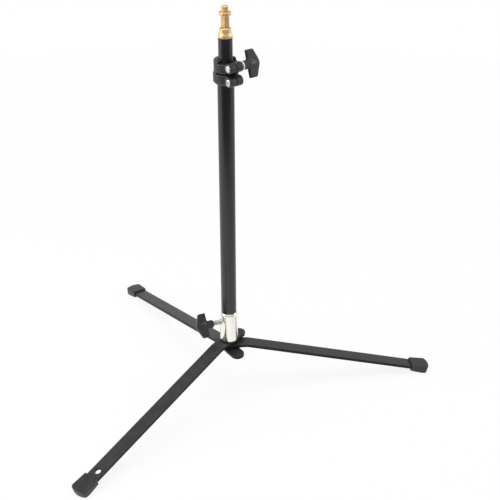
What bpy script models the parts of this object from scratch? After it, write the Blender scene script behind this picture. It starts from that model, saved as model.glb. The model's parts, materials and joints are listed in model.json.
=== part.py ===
"""Low two-section light stand: three flat legs on one pivot, a lift-out pole and a clamp collar.

Metres, +Z up. The column's axis is the world Z axis, and the flat underside of the
pivot bolt's head is at the origin, so the floor lies UNDERSIDE_HEIGHT below it.
"""
import math

import bmesh
import bpy
from mathutils import Matrix, Vector

# Clearances
SEAT_GAP = 0.0003            # between pieces that rest on each other
SLIDE_GAP = 0.00025          # round a piece that slides or turns
HOLE_GAP = 0.0004            # round a bolt or a screw in its hole
TURNED_EDGE = 0.0004         # corner taken off a turned piece

# Stack on the pivot, from the bolt's head upwards
UNDERSIDE_HEIGHT = 0.0592    # floor to the bolt head's underside
BOLT_HEAD_HEIGHT = 0.0053
BOLT_HEAD_FLATS = 0.013
BOLT_DIAMETER = 0.008
BOLT_THREAD_DEPTH = 0.0115   # how far the bolt reaches into the socket
PIVOT_WASHER_THICK = 0.0016
PIVOT_WASHER_DIAMETER = 0.018
SPACER_THICK = 0.0017
SPACER_DIAMETER = 0.019
SOCKET_WASHER_THICK = 0.0016
SOCKET_WASHER_RIM = 0.0004   # how far it stands out past the socket

# Leg bars
BAR_WIDTH = 0.0208
BAR_THICK = 0.005
BAR_EDGE = 0.0005
LEG_RUN = 0.2752             # bend to the boot's mouth, along the slope
INNER_REACH = 0.0328         # axis to the round inner end
MIDDLE_INNER_REACH = 0.0225  # the same for the leg in the middle of the stack
BEND_REACH = 0.0277          # axis to where the two straight runs would meet
BEND_RADIUS = 0.040
AZIMUTH_FRONT_LEFT = -129.7
AZIMUTH_RIGHT = 6.36
AZIMUTH_BACK_LEFT = 124.65
PEG_HOLE_DIAMETER = 0.009
PEG_HOLE_SETBACK = 0.0120    # boot's mouth to the hole's centre

# Rubber boots
BOOT_STAND = 0.0133          # floor to the bar's top face at the boot's mouth
BOOT_LENGTH = 0.0302
BOOT_MOUTH_WIDTH = 0.0246
BOOT_TOE_WIDTH = 0.0272
BOOT_TOE_BULGE = 0.0045
BOOT_MOUTH_WALL = 0.0032     # rubber above and below the bar at the mouth
BOOT_TOE_WALL = 0.0046
BOOT_ROUND = 0.0013
BOOT_GRIP = 0.0205           # length of bar inside the boot

# Socket
SOCKET_HEIGHT = 0.0492
SOCKET_FOOT_DIAMETER = 0.0280
SOCKET_HEAD_DIAMETER = 0.0262
SOCKET_CHAMFER = 0.0021
SOCKET_RIM_INSET = 0.0016    # how far the chamfer draws the head in
SOCKET_GROOVE = 0.0006
SOCKET_FLOOR = 0.0135        # metal between the foot and the pin's bore
PIN_DIAMETER = 0.0159

# Base knob and its screw
BASE_KNOB_AZIMUTH = 203.5
BASE_KNOB_LEAN = 40.0
BASE_KNOB_DROP = 0.0165      # socket's top to the screw's axis
BASE_KNOB_STANDOFF = 0.0268  # column axis to the knob's hub
BASE_SCREW_DIAMETER = 0.0078
BASE_SCREW_LEAD = 0.0008     # cone at the screw's tip
PAD_LENGTH = 0.0028

# T-shaped knob, used twice
KNOB_HUB_LENGTH = 0.0089
KNOB_HUB_RADIUS = 0.0061
KNOB_FLUTES = 10
KNOB_FLUTE_DEPTH = 0.0004
KNOB_SPAN = 0.0374
KNOB_TIP_DEPTH = 0.0110
KNOB_PEAK_DEPTH = 0.0178
KNOB_CREST = 0.0055          # flat on top of the peak
KNOB_WING_THICK = 0.0062
KNOB_ROUND = 0.0010
KNOB_POCKET_DEPTH = 0.0120

# Pole
LOWER_TUBE_DIAMETER = 0.0228
LOWER_TUBE_WALL = 0.0010
LOWER_TUBE_LENGTH = 0.3815
PLUG_LENGTH = 0.0240
PLUG_TOP = 0.0040
UPPER_TUBE_DIAMETER = 0.01905
UPPER_TUBE_WALL = 0.0012
UPPER_TUBE_SHOW = 0.0281     # tube left above the collar when the pole is down
BUSH_SKIRT = 0.0240
BUSH_SPIGOT = 0.0140

# Clamp collar
COLLAR_AZIMUTH = 38.5        # the way its two screws point
COLLAR_SOCKET_DEPTH = 0.0176 # how far the lower tube goes into it
COLLAR_LOWER_RADIUS = 0.0170
COLLAR_UPPER_RADIUS = 0.0160
COLLAR_LOWER_CONE = 0.0052
COLLAR_UPPER_HEIGHT = 0.0174
COLLAR_TOP_ROUND = 0.0026
COLLAR_RIM_HEIGHT = 0.0042   # rim above the ledge on the bosses' side
COLLAR_RIM_SETBACK = 0.0025
COLLAR_SLOT_DROP = 0.0011    # shoulder between the tubes down to the level slot's floor
COLLAR_BAND_GAP = 0.0022     # level slot between the two clamp bands
COLLAR_SPLIT = 0.0019        # upright slot between the ears
BOSS_RADIUS = 0.0070
BOSS_LENGTH = 0.0218
BOSS_OFFSET = 0.0185         # column axis to the screws' axes
BOSS_RISE = 0.0095           # shoulder between the tubes up to the upper screw's axis
BOSS_ROUND = 0.0009
CLAMP_SCREW_DIAMETER = 0.006
SCREW_HEAD_DIAMETER = 0.0095
SCREW_HEAD_HEIGHT = 0.0030
SCREW_HEAD_SINK = 0.0024
NUT_FLATS = 0.0095
NUT_HEIGHT = 0.0040
CLAMP_WASHER_THICK = 0.0022
CLAMP_WASHER_DIAMETER = 0.0126
COLLAR_KNOB_LEAN = -17.0
INSERT_DIAMETER = 0.0082

# Top stud
STUD_RIM = 0.0034
STUD_RIM_CONE = 0.0028
STUD_DIAMETER = 0.0159
STUD_LAND = 0.0057
STUD_CONE = 0.0020
STUD_WAIST_FLATS = 0.0108
STUD_WAIST = 0.0147
STUD_FLANGE = 0.0049
STUD_TIP_DIAMETER = 0.0094
STUD_TIP = 0.0074
STUD_PLUG_LENGTH = 0.0200

# Meshes
WELD_REACH = 0.000005        # corners this close are one corner
SEAM_REACH = 0.00001         # the same where a turned outline meets itself
FILL_REACH = 0.000001        # the same in a filled outline
SMOOTH_ANGLE = 32.0          # faces that meet at less than this shade as one
BEVEL_ANGLE = 40.0           # corners sharper than this are bevelled
FINE_STEPS = 40              # sides of a large round piece
SMALL_STEPS = 24
BEND_STEPS = 5
ROUND_END_STEPS = 16
TOE_STEPS = 10
DOME_STEPS = 4
FLUTE_POINTS = 4

# Levels worked out from the stack
FLOOR_Z = -UNDERSIDE_HEIGHT
PIVOT_WASHER_Z = BOLT_HEAD_HEIGHT + SEAT_GAP
BACK_LEFT_Z = PIVOT_WASHER_Z + PIVOT_WASHER_THICK + SEAT_GAP
LEVEL_STEP = BAR_THICK + SPACER_THICK + 2 * SEAT_GAP
RIGHT_Z = BACK_LEFT_Z + LEVEL_STEP
FRONT_LEFT_Z = RIGHT_Z + LEVEL_STEP
SOCKET_WASHER_Z = FRONT_LEFT_Z + BAR_THICK + SEAT_GAP
SOCKET_Z = SOCKET_WASHER_Z + SOCKET_WASHER_THICK + SEAT_GAP
SOCKET_TOP_Z = SOCKET_Z + SOCKET_HEIGHT
BASE_KNOB_Z = SOCKET_TOP_Z - BASE_KNOB_DROP
LOWER_TUBE_Z = SOCKET_TOP_Z + SEAT_GAP
LOWER_TUBE_TOP_Z = LOWER_TUBE_Z + LOWER_TUBE_LENGTH
SHOULDER_Z = LOWER_TUBE_TOP_Z + SEAT_GAP
COLLAR_FOOT_Z = LOWER_TUBE_TOP_Z - COLLAR_SOCKET_DEPTH
COLLAR_TOP_Z = SHOULDER_Z + COLLAR_UPPER_HEIGHT
LEDGE_Z = COLLAR_TOP_Z - COLLAR_RIM_HEIGHT
UPPER_BOSS_Z = SHOULDER_Z + BOSS_RISE
BAND_SLOT_Z = SHOULDER_Z - COLLAR_SLOT_DROP
LOWER_BOSS_Z = BAND_SLOT_Z - BOSS_ROUND - BOSS_RADIUS
PLUG_TOP_Z = LOWER_TUBE_Z + PLUG_LENGTH
BUSH_Z = PLUG_TOP_Z + SEAT_GAP
UPPER_TUBE_Z = BUSH_Z + BUSH_SKIRT + SEAT_GAP
UPPER_TUBE_TOP_Z = COLLAR_TOP_Z + UPPER_TUBE_SHOW
STUD_Z = UPPER_TUBE_TOP_Z + SEAT_GAP

# Radii worked out from the sizes above
LOWER_BORE = LOWER_TUBE_DIAMETER / 2 - LOWER_TUBE_WALL
UPPER_BORE = UPPER_TUBE_DIAMETER / 2 - UPPER_TUBE_WALL
PIN_BORE = PIN_DIAMETER / 2 + SLIDE_GAP
PIVOT_HOLE = BOLT_DIAMETER / 2 + HOLE_GAP
CLAMP_HOLE = CLAMP_SCREW_DIAMETER / 2 + HOLE_GAP

# Finishes: colour, roughness, metallic
FINISHES = {
    "leg_paint": ((0.035, 0.035, 0.038), 0.42, 0.3),
    "boot_rubber": ((0.030, 0.030, 0.031), 0.65, 0.0),
    "socket_chrome": ((0.82, 0.82, 0.80), 0.10, 1.0),
    "tube_black": ((0.022, 0.022, 0.024), 0.35, 0.5),
    "moulded_black": ((0.028, 0.028, 0.029), 0.45, 0.0),
    "bright_steel": ((0.70, 0.70, 0.70), 0.25, 1.0),
    "washer_black": ((0.015, 0.015, 0.015), 0.55, 0.0),
    "washer_white": ((0.85, 0.85, 0.83), 0.50, 0.0),
    "brass": ((0.78, 0.55, 0.27), 0.25, 1.0),
    "plug_plastic": ((0.05, 0.05, 0.05), 0.55, 0.0),
}


def collection(name):
    """A new collection linked to the scene."""
    group = bpy.data.collections.new(name)
    bpy.context.scene.collection.children.link(group)
    return group


def finish(name):
    """The material for one of the finishes, made once."""
    found = bpy.data.materials.get(name)
    if found:
        return found
    colour, roughness, metallic = FINISHES[name]
    made = bpy.data.materials.new(name)
    made.use_nodes = True
    shader = made.node_tree.nodes["Principled BSDF"]
    shader.inputs["Base Color"].default_value = (*colour, 1.0)
    shader.inputs["Roughness"].default_value = roughness
    shader.inputs["Metallic"].default_value = metallic
    made.diffuse_color = (*colour, 1.0)
    return made


def place(name, mesh, group, matrix=None):
    """An object for a mesh, in a collection, at a placing matrix."""
    piece = bpy.data.objects.new(name, mesh)
    group.objects.link(piece)
    if matrix is not None:
        piece.matrix_world = matrix
    return piece


def dress(piece, finish_name):
    """Give a piece its finish and smooth shading with sharp corners."""
    mesh = piece.data
    mesh.materials.append(finish(finish_name))
    mesh.shade_smooth()
    mesh.set_sharp_from_angle(angle=math.radians(SMOOTH_ANGLE))
    return piece


def as_cutter(piece):
    """Keep a helper solid out of the renders."""
    piece.hide_render = True
    piece.display_type = "WIRE"
    return piece


def ring_profile(rings):
    """Mesh of a closed outline of (radius, height) points at +X."""
    mesh = bpy.data.meshes.new("profile")
    points = [(radius, 0.0, height) for radius, height in rings]
    edges = [(index, (index + 1) % len(points)) for index in range(len(points))]
    mesh.from_pydata(points, edges, [])
    return mesh


def pole_profile(rings):
    """Mesh of an open outline that starts and ends on the axis."""
    mesh = bpy.data.meshes.new("profile")
    points = [(radius, 0.0, height) for radius, height in rings]
    edges = [(index, index + 1) for index in range(len(points) - 1)]
    mesh.from_pydata(points, edges, [])
    return mesh


def turned(name, rings, group, matrix=None, steps=SMALL_STEPS):
    """Solid of revolution; the outline runs down its outer side, top to bottom."""
    on_axis = rings[0][0] == 0.0
    mesh = pole_profile(rings) if on_axis else ring_profile(rings)
    piece = place(name, mesh, group, matrix)
    screw = piece.modifiers.new("turn", "SCREW")
    screw.steps = steps
    screw.render_steps = steps
    screw.use_merge_vertices = True
    screw.merge_threshold = SEAM_REACH
    screw.use_smooth_shade = True
    return piece


def tube_rings(outer, inner, low, high):
    """Outline of a plain tube or washer."""
    return [(outer, high), (outer, low), (inner, low), (inner, high)]


def cylinder(name, radius, low, high, group, matrix=None, steps=SMALL_STEPS):
    """Plain cylinder between two heights on its own Z axis."""
    mesh = bpy.data.meshes.new(name)
    shape = bmesh.new()
    middle = Matrix.Translation((0, 0, (low + high) / 2))
    bmesh.ops.create_cone(shape, cap_ends=True, segments=steps, radius1=radius,
                          radius2=radius, depth=high - low, matrix=middle)
    shape.to_mesh(mesh)
    shape.free()
    return place(name, mesh, group, matrix)


def hexagon(name, flats, low, high, group, matrix=None):
    """Six-sided prism between two heights, measured across its flats."""
    corner = flats / 2 / math.cos(math.pi / 6)
    return cylinder(name, corner, low, high, group, matrix, steps=6)


def box(name, low, high, group, matrix=None):
    """Box between two corners of its own frame."""
    mesh = bpy.data.meshes.new(name)
    shape = bmesh.new()
    size = [top - bottom for bottom, top in zip(low, high)]
    middle = [(top + bottom) / 2 for bottom, top in zip(low, high)]
    scale = Matrix.Diagonal((*size, 1.0))
    bmesh.ops.create_cube(shape, size=1.0, matrix=Matrix.Translation(middle) @ scale)
    shape.to_mesh(mesh)
    shape.free()
    return place(name, mesh, group, matrix)


def plate(name, outline, half_thickness, group, matrix=None):
    """Flat outline in its own XY plane, made solid by a filled curve, as a mesh."""
    curve = bpy.data.curves.new(name, "CURVE")
    curve.dimensions = "2D"
    curve.fill_mode = "BOTH"
    curve.extrude = half_thickness
    spline = curve.splines.new("POLY")
    spline.points.add(len(outline) - 1)
    for point, (across, up) in zip(spline.points, outline):
        point.co = (across, up, 0.0, 1.0)
    spline.use_cyclic_u = True
    guide = place(name + "_outline", curve, group, matrix)
    bpy.context.view_layer.update()
    seen = guide.evaluated_get(bpy.context.evaluated_depsgraph_get())
    mesh = bpy.data.meshes.new_from_object(seen)
    where = guide.matrix_world.copy()
    bpy.data.objects.remove(guide)
    shape = bmesh.new()
    shape.from_mesh(mesh)
    bmesh.ops.remove_doubles(shape, verts=shape.verts, dist=FILL_REACH)
    shape.to_mesh(mesh)
    shape.free()
    mesh.name = name
    return place(name, mesh, group, where)


def combine(piece, other, operation):
    """Add a Boolean with an exact solver."""
    step = piece.modifiers.new(operation.lower(), "BOOLEAN")
    step.operation = operation
    step.solver = "EXACT"
    step.object = other
    as_cutter(other)
    weld = piece.modifiers.new("weld", "WELD")
    weld.merge_threshold = WELD_REACH


def round_edges(piece, width, segments=1):
    """Bevel every sharp edge of a piece."""
    bevel = piece.modifiers.new("edge", "BEVEL")
    bevel.width = width
    bevel.segments = segments
    bevel.limit_method = "ANGLE"
    bevel.angle_limit = math.radians(BEVEL_ANGLE)


def arc(centre, radius, start, end, count):
    """Points on an arc, angles in radians, both ends included."""
    turn = [start + (end - start) * step / count for step in range(count + 1)]
    return [(centre[0] + radius * math.cos(angle), centre[1] + radius * math.sin(angle)) for angle in turn]


def spin(azimuth):
    """Turn about the column's axis, in degrees."""
    return Matrix.Rotation(math.radians(azimuth), 4, "Z")


def aim(azimuth, lean, point):
    """Frame at a point: Z outwards along an azimuth, X upright and leaning by an angle."""
    out = Vector((math.cos(math.radians(azimuth)), math.sin(math.radians(azimuth)), 0.0))
    aside = Vector((out.y, -out.x, 0.0))
    angle = math.radians(lean)
    up = Vector((0, 0, 1)) * math.cos(angle) + aside * math.sin(angle)
    side = out.cross(up)
    turn = Matrix((up, side, out)).transposed().to_4x4()
    return Matrix.Translation(point) @ turn


def leg_slope(level):
    """Angle below level of the leg's long run, for the bar whose underside is at a level."""
    drop = level + BAR_THICK - (FLOOR_Z + BOOT_STAND)
    return math.asin(drop / LEG_RUN)


def mouth_reach(level):
    """Level distance from the column's axis to the mouth of a leg's boot."""
    return BEND_REACH + LEG_RUN * math.cos(leg_slope(level))


def tip_frame(level, azimuth):
    """Frame at the boot's mouth on the bar's top face: X along the slope, Z off the bar."""
    mouth = Matrix.Translation((mouth_reach(level), 0, FLOOR_Z + BOOT_STAND))
    return spin(azimuth) @ mouth @ Matrix.Rotation(leg_slope(level), 4, "Y")


def bar_outline(level, inner_reach):
    """Side view of the bent bar: distance from the axis, height over its level underside."""
    slope = leg_slope(level)
    tangent = BEND_RADIUS * math.tan(slope / 2)
    knee = BEND_REACH - tangent
    up = math.pi / 2
    length = LEG_RUN - tangent + BOOT_GRIP
    outside = arc((knee, BAR_THICK - BEND_RADIUS), BEND_RADIUS, up, up - slope, BEND_STEPS)
    inside = arc((knee, BAR_THICK - BEND_RADIUS), BEND_RADIUS - BAR_THICK, up - slope, up, BEND_STEPS)
    run = (length * math.cos(slope), -length * math.sin(slope))
    top_end = (outside[-1][0] + run[0], outside[-1][1] + run[1])
    low_end = (inside[0][0] + run[0], inside[0][1] + run[1])
    back = -inner_reach - BAR_WIDTH
    return [(back, BAR_THICK)] + outside + [top_end, low_end] + inside + [(back, 0.0)]


def bar_plan(inner_reach):
    """Plan of the bar: straight sides and a half-round inner end."""
    half = BAR_WIDTH / 2
    centre = (half - inner_reach, 0.0)
    end = arc(centre, half, math.pi / 2, 3 * math.pi / 2, ROUND_END_STEPS)
    far = BEND_REACH + LEG_RUN + BOOT_LENGTH
    return end + [(far, -half), (far, half)]


def leg(side, level, azimuth, inner_reach, parts, cutters, pegged=False):
    """One flat steel leg with its pivot hole, bent down just outside the hub."""
    name = "leg_" + side
    upright = spin(azimuth) @ Matrix.Translation((0, 0, level)) @ Matrix.Rotation(math.pi / 2, 4, "X")
    bar = plate(name, bar_outline(level, inner_reach), BAR_WIDTH / 2 + BAR_THICK, parts, upright)
    flat = spin(azimuth) @ Matrix.Translation((0, 0, level))
    plan = plate(name + "_plan", bar_plan(inner_reach), LEG_RUN, cutters, flat)
    combine(bar, plan, "INTERSECT")
    round_edges(bar, BAR_EDGE)
    reach = 2 * BAR_THICK
    pivot = cylinder(name + "_pivot_cut", PIVOT_HOLE, -reach, 2 * reach, cutters, flat)
    combine(bar, pivot, "DIFFERENCE")
    if pegged:
        hole = tip_frame(level, azimuth) @ Matrix.Translation((-PEG_HOLE_SETBACK, 0, 0))
        peg = cylinder(name + "_peg_cut", PEG_HOLE_DIAMETER / 2, -reach, reach, cutters, hole)
        combine(bar, peg, "DIFFERENCE")
    return dress(bar, "leg_paint")


def boot_plan():
    """Plan of a boot: it widens from the mouth to a bulging toe."""
    mouth = BOOT_MOUTH_WIDTH / 2
    toe = BOOT_TOE_WIDTH / 2
    shoulder = BOOT_LENGTH - BOOT_TOE_BULGE
    radius = (toe ** 2 + BOOT_TOE_BULGE ** 2) / (2 * BOOT_TOE_BULGE)
    sweep = math.asin(toe / radius)
    nose = arc((BOOT_LENGTH - radius, 0.0), radius, -sweep, sweep, TOE_STEPS)
    return [(0.0, mouth), (0.0, -mouth), (shoulder, -toe)] + nose[1:-1] + [(shoulder, toe)]


def boot_side(slope):
    """Side view of a boot in the bar's sloping frame, with its sole cut level at the floor."""
    top = [(0.0, BOOT_MOUTH_WALL), (BOOT_LENGTH, BOOT_TOE_WALL)]
    low_mouth = (0.0, -BAR_THICK - BOOT_MOUTH_WALL)
    low_toe = (BOOT_LENGTH, -BAR_THICK - BOOT_TOE_WALL)

    def over_floor(point):
        return BOOT_STAND - point[0] * math.sin(slope) + point[1] * math.cos(slope)

    share = over_floor(low_mouth) / (over_floor(low_mouth) - over_floor(low_toe))
    heel = tuple(near + (far - near) * share for near, far in zip(low_mouth, low_toe))
    lift = (BOOT_LENGTH - heel[0]) * math.tan(slope)
    sole = (BOOT_LENGTH, heel[1] + lift)
    return [low_mouth, heel, sole] + top[::-1]


def boot(side, level, azimuth, parts, cutters):
    """Rubber boot over the end of a leg."""
    name = "boot_" + side
    frame = tip_frame(level, azimuth)
    tall = BOOT_LENGTH
    body = plate(name, boot_plan(), tall, parts, frame)
    sideways = frame @ Matrix.Rotation(math.pi / 2, 4, "X")
    outline = plate(name + "_side", boot_side(leg_slope(level)), BOOT_TOE_WIDTH, cutters, sideways)
    combine(body, outline, "INTERSECT")
    round_edges(body, BOOT_ROUND, segments=2)
    half = BAR_WIDTH / 2 + SEAT_GAP
    low = (-BOOT_LENGTH, -half, -BAR_THICK - SEAT_GAP)
    high = (BOOT_GRIP + SEAT_GAP, half, SEAT_GAP)
    pocket = box(name + "_pocket", low, high, cutters, frame)
    combine(body, pocket, "DIFFERENCE")
    return dress(body, "boot_rubber")


def pivot_stack(parts, cutters):
    """Bolt, washers and spacers that the three legs turn on."""
    bolt = hexagon("pivot_bolt", BOLT_HEAD_FLATS, 0.0, BOLT_HEAD_HEIGHT, parts)
    reach = SOCKET_Z + BOLT_THREAD_DEPTH
    shank = cylinder("pivot_bolt_shank", BOLT_DIAMETER / 2, BOLT_HEAD_HEIGHT / 2, reach, cutters)
    combine(bolt, shank, "UNION")
    dress(bolt, "bright_steel")
    rows = [
        ("pivot_washer", PIVOT_WASHER_DIAMETER, PIVOT_WASHER_Z, PIVOT_WASHER_THICK, "bright_steel"),
        ("leg_spacer_lower", SPACER_DIAMETER, BACK_LEFT_Z + BAR_THICK + SEAT_GAP, SPACER_THICK, "washer_black"),
        ("leg_spacer_upper", SPACER_DIAMETER, RIGHT_Z + BAR_THICK + SEAT_GAP, SPACER_THICK, "washer_black"),
        ("socket_washer", SOCKET_FOOT_DIAMETER + 2 * SOCKET_WASHER_RIM, SOCKET_WASHER_Z,
         SOCKET_WASHER_THICK, "washer_black"),
    ]
    for name, diameter, low, thick, finish_name in rows:
        rings = tube_rings(diameter / 2, PIVOT_HOLE, low, low + thick)
        dress(turned(name, rings, parts), finish_name)


def socket(parts, cutters):
    """Chromed socket: a flared, chamfered cup with the pin's bore and a screw hole in its wall."""
    foot = SOCKET_FOOT_DIAMETER / 2
    head = SOCKET_HEAD_DIAMETER / 2
    neck_z = SOCKET_TOP_Z - SOCKET_CHAMFER
    rim = head - SOCKET_RIM_INSET
    floor_z = SOCKET_Z + SOCKET_FLOOR
    deep = SOCKET_GROOVE
    edge = TURNED_EDGE
    rings = [
        (rim, SOCKET_TOP_Z), (head, neck_z),
        (head - deep, neck_z - deep), (head, neck_z - 2 * deep),
        (foot, SOCKET_Z + 4 * edge), (foot, SOCKET_Z + edge), (foot - edge, SOCKET_Z),
        (PIVOT_HOLE, SOCKET_Z), (PIVOT_HOLE, floor_z),
        (PIN_BORE, floor_z), (PIN_BORE, SOCKET_TOP_Z - edge), (PIN_BORE + edge, SOCKET_TOP_Z),
    ]
    cup = turned("hub_socket", rings, parts, steps=FINE_STEPS)
    across = aim(BASE_KNOB_AZIMUTH, 0.0, (0, 0, BASE_KNOB_Z))
    hole = cylinder("socket_screw_cut", BASE_SCREW_DIAMETER / 2 + HOLE_GAP, 0.0, foot * 2, cutters, across)
    combine(cup, hole, "DIFFERENCE")
    return dress(cup, "socket_chrome")


def fluted_outline():
    """Hub of the knob, seen along its axis: shallow flutes round a circle."""
    points = []
    count = FLUTE_POINTS * KNOB_FLUTES
    for step in range(count):
        angle = math.tau * step / count
        radius = KNOB_HUB_RADIUS - KNOB_FLUTE_DEPTH * (1 - math.cos(KNOB_FLUTES * angle)) / 2
        points.append((radius * math.cos(angle), radius * math.sin(angle)))
    return points


def wing_outline():
    """Wings of the T: upright span, depth outwards, with a low peak in the middle."""
    half = KNOB_SPAN / 2
    crest = KNOB_CREST / 2
    return [(-half, 0.0), (half, 0.0), (half, KNOB_TIP_DEPTH),
            (crest, KNOB_PEAK_DEPTH), (-crest, KNOB_PEAK_DEPTH), (-half, KNOB_TIP_DEPTH)]


def knob(name, frame, bore, parts, cutters):
    """T-shaped knob: fluted hub, peaked wings and a tapering barrel between them."""
    edgeways = frame @ Matrix.Rotation(math.pi / 2, 4, "X")
    head = plate(name, wing_outline(), KNOB_WING_THICK / 2, parts, edgeways)
    round_edges(head, KNOB_ROUND, segments=2)
    deep = KNOB_POCKET_DEPTH - KNOB_HUB_LENGTH
    hub_frame = frame @ Matrix.Translation((0, 0, (deep - KNOB_HUB_LENGTH) / 2))
    hub = plate(name + "_hub", fluted_outline(), (deep + KNOB_HUB_LENGTH) / 2, cutters, hub_frame)
    combine(head, hub, "UNION")
    low = deep - SEAT_GAP
    thin = KNOB_WING_THICK / 2 - KNOB_ROUND
    rings = [(0.0, KNOB_TIP_DEPTH), (thin, KNOB_TIP_DEPTH), (KNOB_HUB_RADIUS - KNOB_FLUTE_DEPTH, deep + low / 2),
             (KNOB_HUB_RADIUS - KNOB_FLUTE_DEPTH, low), (0.0, low)]
    barrel = turned(name + "_barrel", rings, cutters, frame, steps=SMALL_STEPS)
    combine(head, barrel, "UNION")
    pocket = cylinder(name + "_pocket", bore, -2 * KNOB_HUB_LENGTH, deep, cutters, frame)
    combine(head, pocket, "DIFFERENCE")
    return dress(head, "moulded_black")


def base_clamp(parts, cutters):
    """Knob, screw and pressure pad that hold the pole's pin in the socket."""
    at_axis = aim(BASE_KNOB_AZIMUTH, BASE_KNOB_LEAN, (0, 0, BASE_KNOB_Z))
    head = at_axis @ Matrix.Translation((0, 0, BASE_KNOB_STANDOFF + KNOB_HUB_LENGTH))
    radius = BASE_SCREW_DIAMETER / 2
    knob("base_knob", head, radius + SEAT_GAP, parts, cutters)
    pad_low = PIN_DIAMETER / 2 + SEAT_GAP
    pad_high = pad_low + PAD_LENGTH
    pad_rings = [(0.0, pad_high), (radius - 2 * HOLE_GAP, pad_high), (radius - 2 * HOLE_GAP, pad_low),
                 (0.0, pad_low)]
    dress(turned("base_screw_pad", pad_rings, parts, at_axis), "brass")
    start = pad_high + SEAT_GAP
    end = BASE_KNOB_STANDOFF + KNOB_POCKET_DEPTH - SEAT_GAP
    edge = BASE_SCREW_LEAD
    rings = [(0.0, end), (radius, end), (radius, start + edge), (radius - edge, start), (0.0, start)]
    dress(turned("base_knob_screw", rings, parts, at_axis), "bright_steel")


def pole(parts):
    """Pin, plug, lower tube, slide bush and upper tube, all on the column's axis."""
    pin = PIN_DIAMETER / 2
    edge = TURNED_EDGE
    pin_low = SOCKET_Z + SOCKET_FLOOR + SEAT_GAP
    plug_floor = PLUG_TOP_Z - PLUG_TOP
    pin_high = plug_floor - SEAT_GAP
    rings = [(0.0, pin_high), (pin, pin_high), (pin, pin_low + edge), (pin - edge, pin_low), (0.0, pin_low)]
    dress(turned("pole_pin", rings, parts, steps=FINE_STEPS), "bright_steel")
    plug = LOWER_BORE - SEAT_GAP
    rings = [(0.0, PLUG_TOP_Z), (plug, PLUG_TOP_Z), (plug, LOWER_TUBE_Z), (PIN_BORE, LOWER_TUBE_Z),
             (PIN_BORE, plug_floor), (0.0, plug_floor)]
    dress(turned("pole_plug", rings, parts, steps=FINE_STEPS), "plug_plastic")
    rings = tube_rings(LOWER_TUBE_DIAMETER / 2, LOWER_BORE, LOWER_TUBE_Z, LOWER_TUBE_TOP_Z)
    dress(turned("lower_tube", rings, parts, steps=FINE_STEPS), "tube_black")
    skirt = LOWER_BORE - SLIDE_GAP
    spigot = UPPER_BORE - SEAT_GAP
    skirt_z = BUSH_Z + BUSH_SKIRT
    rings = [(0.0, skirt_z + BUSH_SPIGOT), (spigot, skirt_z + BUSH_SPIGOT), (spigot, skirt_z),
             (skirt, skirt_z), (skirt, BUSH_Z), (0.0, BUSH_Z)]
    dress(turned("slide_bush", rings, parts, steps=FINE_STEPS), "plug_plastic")
    rings = tube_rings(UPPER_TUBE_DIAMETER / 2, UPPER_BORE, UPPER_TUBE_Z, UPPER_TUBE_TOP_Z)
    dress(turned("upper_tube", rings, parts, steps=FINE_STEPS), "tube_black")


def collar_frame(height):
    """Collar's own frame: X along its screws towards the knob, -Y towards the bosses."""
    return spin(COLLAR_AZIMUTH) @ Matrix.Translation((0, 0, height))


def screw_frame(height):
    """Frame of a clamp screw: Z along it towards the knob, at the split's middle."""
    at_screw = Matrix.Translation((0, -BOSS_OFFSET, 0))
    return collar_frame(height) @ at_screw @ Matrix.Rotation(math.pi / 2, 4, "Y")


def boss(name, height, cutters):
    """One clamp boss: a round bar along the screw, and the web that ties it to the collar."""
    half = BOSS_LENGTH / 2
    edge = BOSS_ROUND
    rings = [(0.0, half), (BOSS_RADIUS - edge, half), (BOSS_RADIUS, half - edge),
             (BOSS_RADIUS, edge - half), (BOSS_RADIUS - edge, -half), (0.0, -half)]
    return turned(name, rings, cutters, screw_frame(height))


def web(name, height, top, cutters):
    """Flat-sided web between a boss and the collar's body, up to a height over its screw."""
    inside = (LOWER_TUBE_DIAMETER / 2 + COLLAR_UPPER_RADIUS) / 2
    half = BOSS_LENGTH / 2 - 2 * BOSS_ROUND
    low = (-half, -BOSS_OFFSET, SEAT_GAP - BOSS_RADIUS)
    high = (half, -inside / 2, top)
    return box(name, low, high, cutters, collar_frame(height))


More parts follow.
